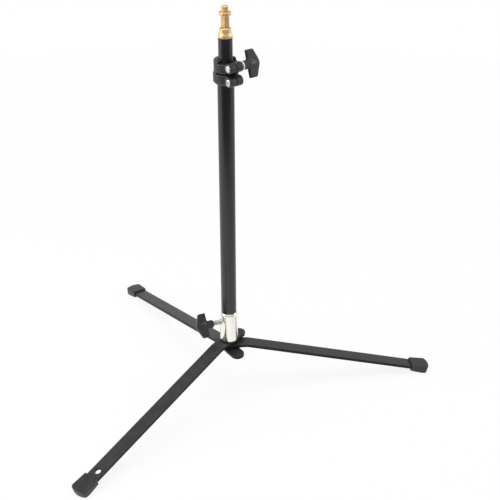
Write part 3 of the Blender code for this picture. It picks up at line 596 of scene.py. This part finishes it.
def make_socket():
    """Chromed socket and its washer.

    The socket is a slightly flared cup, turned, with a chamfered head, a groove below it and
    the pivot bolt's hole. The screw's hole, with its countersink, is a turned tool laid across.
    """
    low, high = box_heights("hub_socket")
    foot, head, bore = SOCKET_FOOT, SOCKET_HEAD, SOCKET_BORE
    neck = high - 0.0021
    outline = [
        (head - 0.0016, high), (head - 0.0010, high - 0.0004), (head - 0.0004, high - 0.0011),
        (head, neck), (head - 0.0006, neck - 0.0004), (head - 0.0006, neck - 0.0008),
        (head, neck - 0.0012),
        (foot, low + 0.0016), (foot, low + 0.0004), (foot - 0.0004, low),
        (PIVOT_RADIUS, low), (PIVOT_RADIUS, low + SOCKET_SEAT),
        (bore, low + SOCKET_SEAT), (bore, high - 0.0004), (bore + 0.0004, high),
    ]
    cup = turned("socket_cup", outline, columns=160, looped=True)
    across = aim(BASE_KNOB_AZIMUTH, 0.0, (0.0, 0.0, BASE_KNOB_Z))
    hole = [(0, 0), (0.0043, 0), (0.0043, 0.0124), (0.0049, 0.0141), (0.0049, 0.020), (0, 0.020)]
    cut(cup, turned("screw_tool", hole, ease=0.0001, columns=48, matrix=across))
    settle(cup, "hub", "socket_chrome", "hub_socket")
    outline = ring_outline("socket_washer", WASHER_RADIUS, PIVOT_RADIUS)
    settle(turned("socket_ring", outline, looped=True), "hub", "washer_black", "socket_washer")


def make_tubes():
    """Lower and upper tube, each with its rim eased, and the pin at the foot."""
    tubes = (("lower_tube", LOWER_TUBE, "pole"), ("upper_tube", UPPER_TUBE, "column"))
    for node, radii, body in tubes:
        outline = ring_outline(node, *radii)
        tube = turned(node + "_drawn", outline, ease=0.0003, columns=128, looped=True)
        settle(tube, body, "tube_black", node)
    low, high = box_heights("pole_pin")
    rod = [(0, high), (PIN_RADIUS, high), (PIN_RADIUS, low + 0.0012), (0.0068, low), (0, low)]
    settle(turned("pole_pin_turned", rod, ease=0.0004), "pin", "bright_steel", "pole_pin")


def make_stud():
    """Brass stud.

    Its radius at a level is that of the turned profile, and on the waist it is the greater of
    the profile's and a hexagon's, whose flats are eased at the corners. The tip carries a
    thread. Levels are added to the profile's where the waist and the thread need them.
    """
    low, high = box_heights("top_stud")
    base = low + STUD_PLUG
    land, neck, tip, plug = STUD_LAND_RADIUS, STUD_NECK_RADIUS, STUD_TIP_RADIUS, 0.00802
    flange, waist, shoulder = UPPER_TUBE[0], STUD_WAIST, STUD_SHOULDER
    outline = [
        (0, low), (plug - 0.0006, low), (plug, low + 0.0006), (plug, base),
        (flange, base), (flange, base + 0.0034),
        (land, base + STUD_LAND), (land, base + waist[0]),
        (neck, base + 0.0139), (neck, base + waist[1]),
        (land - 0.0005, base + waist[1]), (land, base + 0.0292),
        (land, base + 0.0330), (land - 0.0005, base + shoulder),
        (tip, base + shoulder), (tip, high - 0.0008), (tip - 0.0009, high), (0, high),
    ]
    profile = eased(outline, 0.00035, steps=3, closed=False)
    added = np.concatenate([
        np.linspace(base + 0.0120, base + 0.0285, 40),
        np.linspace(base + 0.0337, high - 0.0009, 70),
    ])
    place = np.arange(len(profile))
    added_place = np.interp(added, profile[:, 1], place)
    order = np.argsort(np.concatenate([place, added_place]), kind="stable")
    height = np.concatenate([profile[:, 1], added])[order][:, None]
    radius = np.concatenate([profile[:, 0], np.interp(added, profile[:, 1], profile[:, 0])])
    radius = radius[order][:, None]
    angle = np.linspace(0.0, math.tau, 144, endpoint=False)[None, :]
    wedge = (angle + math.pi / 6) % (math.pi / 3) - math.pi / 6
    hexagon = np.minimum(STUD_FLAT / np.cos(wedge), STUD_CORNER)
    on_waist = (height > base + waist[0]) & (height < base + waist[1]) & (radius > 0.004)
    reach = np.where(on_waist, np.maximum(radius, hexagon), radius)
    on_tip = (height > base + 0.0345) & (height < high - 0.0008)
    pitch, depth = STUD_THREAD
    reach = np.where(on_tip, reach - thread_wave(height, angle, pitch) * depth, reach)
    height = np.broadcast_to(height, reach.shape)
    points = np.stack([reach * np.cos(angle), reach * np.sin(angle), height], axis=-1)
    settle(shell("stud_brass", points, sharp=28.0), "column", "brass", "top_stud")


# Clamp collar

def collar_field(x, y, z):
    """Split clamp collar, X along its screws and -Y towards its bosses.

    A body turned from a stepped profile loses its rim over the bosses. Two round bosses with
    flat webs join it with a fillet. Then the tubes' bores, the upright split, the level slot,
    the screws' holes and the nut's pocket are taken out.
    """
    foot, slot, shoulder, ledge, top = 0.4427, 0.4595, 0.4606, 0.4738, 0.4780
    slot_height, split_half = 0.0022, 0.00095
    lower_bore, upper_bore = 0.01172, 0.0099
    recess, recess_floor = 0.0051, 0.0085
    nut_half, nut_floor, cosine_30 = 0.0050, 0.0068, 0.866

    radius = np.hypot(x, y)
    levels = [foot, foot + 0.0052, slot - 0.0004, slot + 0.0010, top]
    girth = np.interp(z, levels, [0.0127, 0.0170, 0.0170, 0.0160, 0.0160])
    body = meet(radius - girth, between(z, foot, top, 0.0004), 0.0030)
    body = without(body, meet(ledge - z, y + 0.0025, 0.0006), 0.0008)
    crowns = {UPPER_BOSS_Z: ledge - 0.0003, LOWER_BOSS_Z: LOWER_BOSS_Z + BOSS_RADIUS}
    for height, crown in crowns.items():
        ring = np.hypot(y + BOSS_OFFSET, z - height) - BOSS_RADIUS
        boss = meet(ring, np.abs(x) - BOSS_HALF, 0.0022)
        web = between(z, height - BOSS_RADIUS, crown, 0.0004)
        web = meet(np.abs(x) - BOSS_HALF + 0.0016, web, 0.0010)
        web = meet(web, between(y, -BOSS_OFFSET, -0.0068, 0.0004), 0.0004)
        body = join(body, join(boss, web, 0.0010), 0.0018)

    split = meet(np.abs(x) - split_half, y, 0.0003)
    level_slot = meet(between(z, slot, slot + slot_height, 0.0003), y, 0.0003)
    bore = np.where(z > shoulder, radius - upper_bore, radius - lower_bore)
    body = without(body, split, 0.0009)
    body = without(body, level_slot, 0.0009)
    body = without(body, bore, 0.0007)
    for height in (UPPER_BOSS_Z, LOWER_BOSS_Z):
        ring = np.hypot(y + BOSS_OFFSET, z - height)
        body = without(body, meet(ring - recess, x + recess_floor, 0.0002), 0.0006)
        body = without(body, ring - SCREW_HOLE, 0.0004)
    across, up = np.abs(y + BOSS_OFFSET), np.abs(z - LOWER_BOSS_Z)
    flats = np.maximum(across, across / 2 + up * cosine_30) - nut_half
    return without(body, np.maximum(flats, nut_floor - x), 0.0006)


def screw_frame(height):
    """Frame of a clamp screw: Z along it towards the knob, at the middle of the split."""
    swap = np.eye(4)
    swap[:3, :3] = [[0, 0, 1], [0, 1, 0], [-1, 0, 0]]
    return spin(COLLAR_AZIMUTH) @ shift(0.0, -BOSS_OFFSET, height) @ swap


def headed_screw(name, length, height, crossed):
    """Screw, turned: a shank and a head whose dome follows a flattened quarter ellipse.

    Where it is crossed, two slots sink into the dome, each ending over a short slope.
    """
    columns = 96
    angle = np.linspace(0.0, math.tau, columns, endpoint=False)[None, :]
    share = np.linspace(0.0, 1.0, 34)[:, None]
    radius = SCREW_HEAD * share
    dome = 0.62 + 0.38 * np.sqrt(np.maximum(1 - share ** 2.6, 0.0))
    crown = -SCREW_DOME * dome + 0 * angle
    if crossed:
        arm_length, arm_half, arm_depth, turned_by = 0.0029, 0.00068, 0.0015, 0.5
        x = np.abs(radius * np.cos(angle + turned_by))
        y = np.abs(radius * np.sin(angle + turned_by))
        along_x = np.maximum(x / arm_length, y / arm_half)
        along_y = np.maximum(y / arm_length, x / arm_half)
        arm = np.minimum(along_x, along_y)
        crown = crown + arm_depth * np.clip((1.25 - arm) / 0.5, 0.0, 1.0)
    shank = [
        (SCREW_HEAD, -0.0004), (SCREW_HEAD - 0.0004, 0.0), (SCREW_SHANK, 0.0),
        (SCREW_SHANK, length - 0.0005), (SCREW_SHANK - 0.0005, length), (0.0, length),
    ]
    head = np.stack([radius * np.cos(angle), radius * np.sin(angle), crown], axis=-1)
    points = np.concatenate([head, turned_points(np.array(shank), columns)])
    return shell(name, moved(points, screw_frame(height) @ shift(z=SCREW_SEAT - BOSS_HALF)))


def make_collar():
    """Collar with its screws, washer and knob."""
    low = (-0.0180, -0.0268, 0.4415)
    high = (0.0180, 0.0180, 0.4792)
    collar = cast("collar_moulded", collar_field, low, high, COLLAR_PITCH, spin(COLLAR_AZIMUTH))
    settle(collar, "pole", "moulded_black", "clamp_collar")

    reach = BOSS_HALF + GAP + CLAMP_WASHER + GAP
    length = reach + KNOB_POCKET - 2 * GAP - (SCREW_SEAT - BOSS_HALF)
    bolt = headed_screw("clamp_bolt_domed", length, UPPER_BOSS_Z, False)
    settle(bolt, "pole", "bright_steel", "clamp_bolt")
    screw = headed_screw("collar_screw_crossed", 2 * BOSS_HALF - SCREW_SEAT, LOWER_BOSS_Z, True)
    settle(screw, "pole", "bright_steel", "collar_screw")

    near, far = BOSS_HALF + GAP, BOSS_HALF + GAP + CLAMP_WASHER
    outer, inner = CLAMP_WASHER_RADIUS, SCREW_HOLE
    ring = [(outer, far), (outer, near), (inner, near), (inner, far)]
    frame_here = screw_frame(UPPER_BOSS_Z)
    washer = turned("clamp_washer_ring", ring, ease=0.0005, matrix=frame_here, looped=True)
    settle(washer, "clamp_ring", "washer_white", "clamp_washer")

    point = (spin(COLLAR_AZIMUTH) @ np.array([0.0, -BOSS_OFFSET, UPPER_BOSS_Z, 1.0]))[:3]
    hub = aim(COLLAR_AZIMUTH, COLLAR_KNOB_LEAN, point) @ shift(z=reach + KNOB_HUB_LENGTH)
    make_knob("collar_knob_moulded", hub, COLLAR_KNOB_BORE, "collar_handle", "collar_knob")


# Knobs

def knob_field(x, y, z, bore):
    """T-shaped knob: X along its span, Z outwards from where its wings begin.

    The wings are a six-sided outline, peaked in the middle, with a thickness that swells
    towards the hub. A fluted hub and a tapering barrel join them with fillets, and the
    pocket for the screw is taken out.
    """
    half, tip, peak, crest = 0.0187, 0.0110, 0.0178, 0.0027
    hub_top = 0.0032
    slope = (peak - tip) / (half - crest)
    roof = (z - peak + slope * (np.abs(x) - crest)) / math.hypot(1.0, slope)
    wings = meet(meet(np.abs(x) - half, roof, 0.0016), meet(z - peak, -z, 0.0016), 0.0012)
    thick = 0.0031 + 0.0002 * np.exp(-(x / 0.007) ** 2)
    wings = meet(wings, np.abs(y) - thick, 0.0016)
    radius = np.hypot(x, y)
    reach = KNOB_HUB - 0.0004 * (1 - np.cos(KNOB_FLUTES * np.arctan2(y, x))) / 2
    hub = meet(radius - reach, between(z, -KNOB_HUB_LENGTH, hub_top, 0.0003), 0.0009)
    taper = np.interp(z, [0.0, hub_top, tip, peak], [0.0058, 0.0056, 0.0031, 0.0020])
    barrel = meet((radius - taper) * 0.95, between(z, 0.0, peak - 0.0012, 0.0003), 0.0010)
    body = join(join(wings, barrel, 0.0022), hub, 0.0014)
    return without(body, np.maximum(radius - bore, z - 0.0031), 0.0005)


def make_knob(name, matrix, bore, body, node):
    """One T-knob, cast in its own frame."""
    low = (-0.0202, -0.0078, -0.0102)
    high = (0.0202, 0.0078, 0.0194)
    piece = cast(name, lambda x, y, z: knob_field(x, y, z, bore), low, high, KNOB_PITCH, matrix)
    settle(piece, body, "moulded_black", node)


def make_base_clamp():
    """Knob and threaded screw on the socket."""
    at_axis = aim(BASE_KNOB_AZIMUTH, BASE_KNOB_LEAN, (0.0, 0.0, BASE_KNOB_Z))
    hub = at_axis @ shift(z=BASE_KNOB_STANDOFF + KNOB_HUB_LENGTH)
    make_knob("base_knob_moulded", hub, BASE_KNOB_BORE, "base_handle", "base_knob")
    start = PIN_RADIUS + GAP + BASE_PAD + GAP
    end = BASE_KNOB_STANDOFF + KNOB_POCKET - GAP
    points = moved(thread_points(*BASE_SCREW, start, end), at_axis)
    screw = shell("base_screw_threaded", points, sharp=60.0)
    settle(screw, "base_handle", "bright_steel", "base_knob_screw")


# Finishes

def link(tree, source, target):
    """Join an output socket to an input socket."""
    tree.links.new(source, target)


def mottle(tree, coordinates, scale, detail, stretch=(1.0, 1.0, 1.0)):
    """Noise over the piece, stretched along an axis where the finish is drawn."""
    mapping = tree.nodes.new("ShaderNodeMapping")
    mapping.inputs["Scale"].default_value = stretch
    link(tree, coordinates, mapping.inputs["Vector"])
    noise = tree.nodes.new("ShaderNodeTexNoise")
    noise.inputs["Scale"].default_value = scale
    noise.inputs["Detail"].default_value = detail
    link(tree, mapping.outputs["Vector"], noise.inputs["Vector"])
    return noise.outputs["Fac"]


def spread(tree, value, low, high, start=0.35, end=0.65):
    """Value carried from one band of numbers, by default a noise's middle, to another, and held."""
    ramp = tree.nodes.new("ShaderNodeMapRange")
    ramp.inputs["From Min"].default_value = start
    ramp.inputs["From Max"].default_value = end
    ramp.inputs["To Min"].default_value = low
    ramp.inputs["To Max"].default_value = high
    link(tree, value, ramp.inputs["Value"])
    return ramp.outputs["Result"]


def relief(tree, value, distance, strength):
    """Bump from a pattern."""
    bump = tree.nodes.new("ShaderNodeBump")
    bump.inputs["Distance"].default_value = distance
    bump.inputs["Strength"].default_value = strength
    link(tree, value, bump.inputs["Height"])
    return bump.outputs["Normal"]


def blend(tree, share, first, second):
    """Mix of two colours, each a tuple or an output."""
    mix = tree.nodes.new("ShaderNodeMix")
    mix.data_type = "RGBA"
    link(tree, share, mix.inputs[0])
    for colour, slot in ((first, mix.inputs[6]), (second, mix.inputs[7])):
        if isinstance(colour, tuple):
            slot.default_value = (*colour, 1.0)
        else:
            link(tree, colour, slot)
    return mix.outputs[2]


def product(tree, first, second):
    """Product of two values."""
    step = tree.nodes.new("ShaderNodeMath")
    step.operation = "MULTIPLY"
    link(tree, first, step.inputs[0])
    link(tree, second, step.inputs[1])
    return step.outputs[0]


def add_up(tree, values):
    """Sum of ray kinds, held at one."""
    total = values[0]
    for value in values[1:]:
        step = tree.nodes.new("ShaderNodeMath")
        step.operation = "ADD"
        step.use_clamp = True
        link(tree, total, step.inputs[0])
        link(tree, value, step.inputs[1])
        total = step.outputs[0]
    return total


def attribute(tree, name):
    """A number that the mesh carries at each point."""
    node = tree.nodes.new("ShaderNodeAttribute")
    node.attribute_name = name
    return node.outputs["Fac"]


def make_finish(name, dark, light, rough, grain, metal=0.0, level=0.5, stretch=(1.0, 1.0, 1.0),
                edge_highlight=None, hollow_shade=None, fade=None, side=None):
    """Finish from two noises: broad patches shade colour and gloss, fine grain gives the relief.

    grain is (scale, depth in metres, strength). The edge colour is a painted highlight that
    bulging edges turn to, in broken strokes, and the hollow colour painted shade that hollow
    corners turn to. level is the gloss where the surface faces the eye, and fade the one that
    it goes to where it turns away. side is painted shade: the darker colour of a bar's upright
    sides, which are also duller; it needs a fade.
    """
    made = bpy.data.materials.new(name)
    made.use_nodes = True
    tree = made.node_tree
    shader = tree.nodes["Principled BSDF"]
    shader.inputs["Metallic"].default_value = metal
    shader.inputs["Specular IOR Level"].default_value = level
    place = tree.nodes.new("ShaderNodeTexCoord").outputs["Object"]
    patches = mottle(tree, place, PATCH_SCALE, 4.0, stretch)
    fine = mottle(tree, place, grain[0], 2.0, stretch)
    colour = blend(tree, spread(tree, patches, 0.0, 1.0), dark, light)
    bulge = attribute(tree, "bulge")
    # painted shade: hollow corners, where the bulge is negative, darken towards the hollow colour
    if hollow_shade is not None:
        hollow = spread(tree, bulge, 1.0, 0.0, -BULGE_FULL, -BULGE_STARTS)
        colour = blend(tree, hollow, colour, hollow_shade)
    # painted highlight: bulging edges lighten towards the edge colour, in broken strokes
    if edge_highlight is not None:
        edge = spread(tree, bulge, 0.0, 1.0, BULGE_STARTS, BULGE_FULL)
        strokes = spread(tree, mottle(tree, place, STROKE_SCALE, 4.0), 0.0, 1.0, 0.38, 0.56)
        colour = blend(tree, product(tree, edge, strokes), colour, edge_highlight)
    if fade is not None:
        facing = tree.nodes.new("ShaderNodeLayerWeight")
        facing.inputs["Blend"].default_value = 0.5
        gloss = spread(tree, facing.outputs["Facing"], level, fade, 0.55, 0.95)
        # painted shade: a bar's upright sides darken towards the side colour, and they also lose
        # gloss
        if side is not None:
            side_shade_mask = attribute(tree, "side")
            colour = blend(tree, side_shade_mask, colour, side)
            gloss = product(tree, gloss, spread(tree, side_shade_mask, 1.0, SIDE_GLOSS, 0.0, 1.0))
        link(tree, gloss, shader.inputs["Specular IOR Level"])
    link(tree, colour, shader.inputs["Base Color"])
    link(tree, spread(tree, patches, rough[0], rough[1]), shader.inputs["Roughness"])
    link(tree, relief(tree, fine, grain[1], grain[2]), shader.inputs["Normal"])
    return made


def grey(value, warm=0.0):
    """Neutral colour, a little warmer or cooler."""
    return (value * (1 + warm), value, value * (1 - warm))


# The hollow colours below are painted shade and the edge colours painted highlights; the legs' side
# colour is painted shade on their upright sides.
FINISHES = {
    "leg_paint": make_finish(
        "satin_leg_paint", grey(0.026, -0.02), grey(0.034, -0.02), (0.36, 0.46),
        (1500.0, 0.00002, 0.35), fade=0.85, side=grey(0.014)),
    "boot_rubber": make_finish(
        "boot_rubber_matt", grey(0.021), grey(0.028), (0.36, 0.46),
        (2600.0, 0.00004, 0.40), edge_highlight=grey(0.090), hollow_shade=grey(0.006)),
    "socket_chrome": make_finish(
        "socket_chrome_plate", (0.94, 0.91, 0.845), (0.98, 0.95, 0.885), (0.12, 0.19),
        (700.0, 0.000004, 0.15), metal=1.0, hollow_shade=grey(0.22)),
    "tube_black": make_finish(
        "drawn_black_tube", grey(0.0048), grey(0.0064), (0.24, 0.31),
        (1400.0, 0.000008, 0.30), level=0.68, stretch=(1.0, 1.0, 0.03), fade=0.02),
    "moulded_black": make_finish(
        "moulded_charcoal", grey(0.017, 0.01), grey(0.024, 0.01), (0.32, 0.42),
        (2300.0, 0.00003, 0.35), edge_highlight=grey(0.150), hollow_shade=grey(0.010), fade=0.20),
    "bright_steel": make_finish(
        "bright_zinc_steel", grey(0.74), grey(0.84), (0.16, 0.26),
        (1800.0, 0.00001, 0.30), metal=1.0, hollow_shade=grey(0.10)),
    "washer_black": make_finish(
        "black_nylon", grey(0.010), grey(0.015), (0.46, 0.58), (1800.0, 0.00002, 0.30)),
    "washer_white": make_finish(
        "white_nylon", grey(0.76), grey(0.84), (0.40, 0.52), (1800.0, 0.00002, 0.25)),
    "brass": make_finish(
        "turned_brass", (0.83, 0.55, 0.26), (0.89, 0.62, 0.32), (0.32, 0.40),
        (900.0, 0.000006, 0.10), metal=0.88, stretch=(1.0, 1.0, 4.0), hollow_shade=(0.30, 0.17, 0.06)),
    "plug_plastic": make_finish(
        "grey_plug_plastic", grey(0.045), grey(0.058), (0.46, 0.60), (1800.0, 0.00003, 0.35)),
}


def settle(piece, body, finish_name, node):
    """Give a piece its finish and its body, and let it stand for its CAD node."""
    piece.data.materials.clear()
    piece.data.materials.append(FINISHES[finish_name])
    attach(piece, body)
    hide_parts(node)


KEPT_NODES = (
    "pivot_bolt", "pivot_washer", "leg_spacer_lower", "leg_spacer_upper", "base_screw_pad",
    "pole_plug", "slide_bush", "collar_nut", "collar_knob_insert",
)


def dress_kept_nodes():
    """Finishes on the CAD nodes that stay: the pieces inside the stand and under the hub."""
    slots = {entry["node"]: entry["material_slot"] for entry in frame["record"]["subparts"]}
    for node in KEPT_NODES:
        piece = frame["nodes"][node]
        piece.data.materials.clear()
        piece.data.materials.append(FINISHES[slots[node]])


# Studio

def make_floor():
    """Wide pale floor that keeps a faint shadow.

    To the camera, to gloss and to glass it is mostly plain white, mixed with its own shading
    near the stand. In gloss it is a little greyer on the right, and ends in the dark where the
    camera stands.
    """
    half = FLOOR_HALF
    mesh = bpy.data.meshes.new("studio_floor")
    corners = [(x * half, y * half, FLOOR_Z) for x, y in ((-1, -1), (1, -1), (1, 1), (-1, 1))]
    mesh.from_pydata(corners, [], [(0, 1, 2, 3)])
    floor = bpy.data.objects.new("studio_floor", mesh)
    bpy.context.scene.collection.objects.link(floor)
    made = bpy.data.materials.new("pale_floor")
    made.use_nodes = True
    tree = made.node_tree
    shader = tree.nodes["Principled BSDF"]
    shader.inputs["Base Color"].default_value = (0.93, 0.93, 0.93, 1.0)
    shader.inputs["Roughness"].default_value = 0.9
    shader.inputs["Specular IOR Level"].default_value = 0.0
    path = tree.nodes.new("ShaderNodeLightPath")
    place = tree.nodes.new("ShaderNodeTexCoord").outputs["Object"]
    split = tree.nodes.new("ShaderNodeSeparateXYZ")
    link(tree, place, split.inputs[0])
    from_stand = tree.nodes.new("ShaderNodeVectorMath")
    from_stand.operation = "LENGTH"
    link(tree, place, from_stand.inputs[0])
    glow = tree.nodes.new("ShaderNodeEmission")
    level = tree.nodes.new("ShaderNodeMix")
    link(tree, path.outputs["Is Camera Ray"], level.inputs[0])
    behind_camera = spread(tree, split.outputs["Y"], 0.06, 1.0, -1.00, -0.70)
    rightward = spread(tree, split.outputs["X"], 1.0, 0.70, 0.0, 0.5)
    link(tree, product(tree, behind_camera, rightward), level.inputs[2])
    level.inputs[3].default_value = 1.0
    link(tree, level.outputs[0], glow.inputs["Strength"])
    kinds = ("Is Camera Ray", "Is Glossy Ray", "Is Transmission Ray")
    rays = add_up(tree, [path.outputs[kind] for kind in kinds])
    whiteness = spread(tree, from_stand.outputs["Value"], FLOOR_WHITE, 1.0, *FLOOR_FADE)
    seen = product(tree, rays, whiteness)
    mix = tree.nodes.new("ShaderNodeMixShader")
    link(tree, seen, mix.inputs[0])
    link(tree, shader.outputs[0], mix.inputs[1])
    link(tree, glow.outputs[0], mix.inputs[2])
    link(tree, mix.outputs[0], tree.nodes["Material Output"].inputs["Surface"])
    mesh.materials.append(made)


def make_world():
    """World: white to the camera, soft grey as light, in gloss a grey that darkens upwards."""
    world = bpy.data.worlds.new("studio")
    bpy.context.scene.world = world
    world.use_nodes = True
    tree = world.node_tree
    back = tree.nodes["Background"]
    back.inputs["Color"].default_value = (1.0, 1.0, 1.0, 1.0)
    path = tree.nodes.new("ShaderNodeLightPath")
    split = tree.nodes.new("ShaderNodeSeparateXYZ")
    link(tree, tree.nodes.new("ShaderNodeTexCoord").outputs["Generated"], split.inputs[0])
    gloss = spread(tree, split.outputs["Z"], WORLD_GLOSS[0], WORLD_GLOSS[1], 0.05, 0.90)
    first = tree.nodes.new("ShaderNodeMix")
    link(tree, path.outputs["Is Glossy Ray"], first.inputs[0])
    first.inputs[2].default_value = WORLD_LIGHT
    link(tree, gloss, first.inputs[3])
    second = tree.nodes.new("ShaderNodeMix")
    seen = add_up(tree, [path.outputs["Is Camera Ray"], path.outputs["Is Transmission Ray"]])
    link(tree, seen, second.inputs[0])
    link(tree, first.outputs[0], second.inputs[2])
    second.inputs[3].default_value = 1.0
    link(tree, second.outputs[0], back.inputs["Strength"])


def add_lamp(name, place, aim_at, size, power):
    """Soft rectangular lamp that looks at a point."""
    light = bpy.data.lights.new(name, "AREA")
    light.shape = "RECTANGLE"
    light.size, light.size_y = size
    light.energy = power
    lamp = bpy.data.objects.new(name, light)
    lamp.location = place
    lamp.rotation_euler = (Vector(aim_at) - Vector(place)).to_track_quat("-Z", "Y").to_euler()
    bpy.context.scene.collection.objects.link(lamp)


def make_studio():
    """Floor, world, lamps and the camera."""
    make_floor()
    make_world()
    for name, (place, aim_at, size, power) in LAMPS.items():
        add_lamp(name, place, aim_at, size, power)
    data = bpy.data.cameras.new("view")
    data.sensor_width = 36.0
    data.lens = CAMERA_LENS
    data.shift_x, data.shift_y = CAMERA_SHIFT
    data.clip_start = 0.05
    camera = bpy.data.objects.new("view", data)
    camera.location = CAMERA_PLACE
    camera.rotation_euler = (math.radians(CAMERA_TILT), 0.0, 0.0)
    bpy.context.scene.collection.objects.link(camera)
    bpy.context.scene.camera = camera
    bpy.context.scene.view_settings.view_transform = "Standard"


make_legs()
make_socket()
make_tubes()
make_stud()
make_collar()
make_base_clamp()
dress_kept_nodes()
make_studio()
